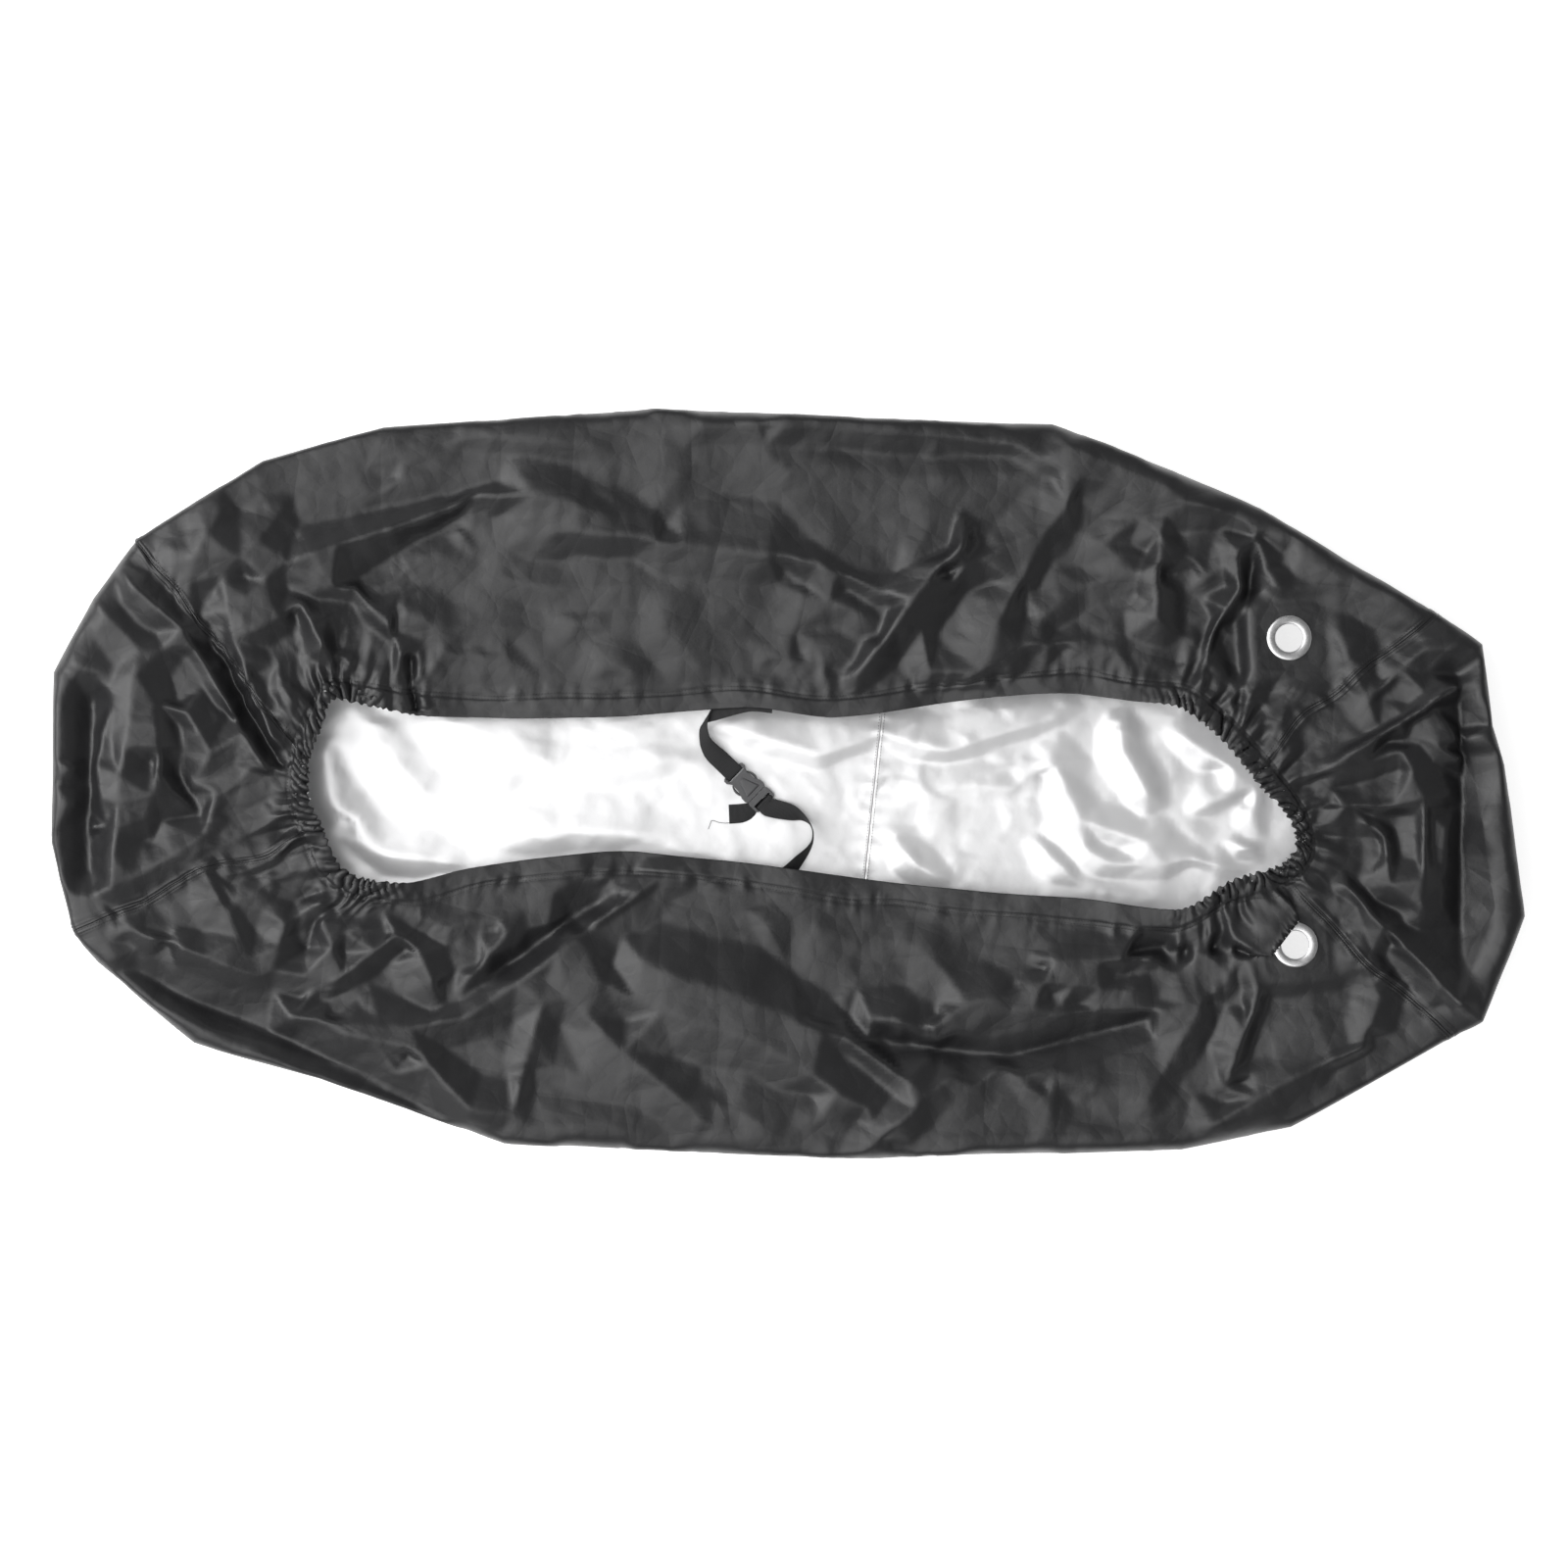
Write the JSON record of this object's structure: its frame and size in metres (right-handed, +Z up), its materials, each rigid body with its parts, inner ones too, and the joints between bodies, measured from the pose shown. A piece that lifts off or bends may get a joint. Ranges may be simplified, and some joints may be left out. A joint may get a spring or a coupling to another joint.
{
  "type": "bicycle cover",
  "caption": "Long lozenge-shaped cover of coated cloth lying on its roof, sides folded in, gathered hems round the mouth, eyelets at one end and a buckled strap across.",
  "frame": {"origin": "middle of the cover's outline in plan, on the floor it lies on", "axes": "+X towards the front end with the eyelets, +Y towards the upper side panel, +Z up out of the open mouth"},
  "size_m": [1.897, 0.972, 0.1285],
  "materials": {
    "taffeta": "semi-gloss coated taffeta, silver inside",
    "plating": "bright nickel plate",
    "webbing": "matte ribbed webbing",
    "plastic": "satin moulded"
  },
  "bodies": {
    "root": {"side_upper": "taffeta", "patch_upper": "taffeta", "eyelet_upper": "plating", "strip_front": "taffeta", "side_lower": "taffeta", "patch_lower": "taffeta", "eyelet_lower": "plating", "strip_rear": "taffeta", "strap_upper": "webbing", "strap_lower": "webbing", "buckle_socket": "plastic", "buckle_plug": "plastic"}
  },
  "joints": []
}
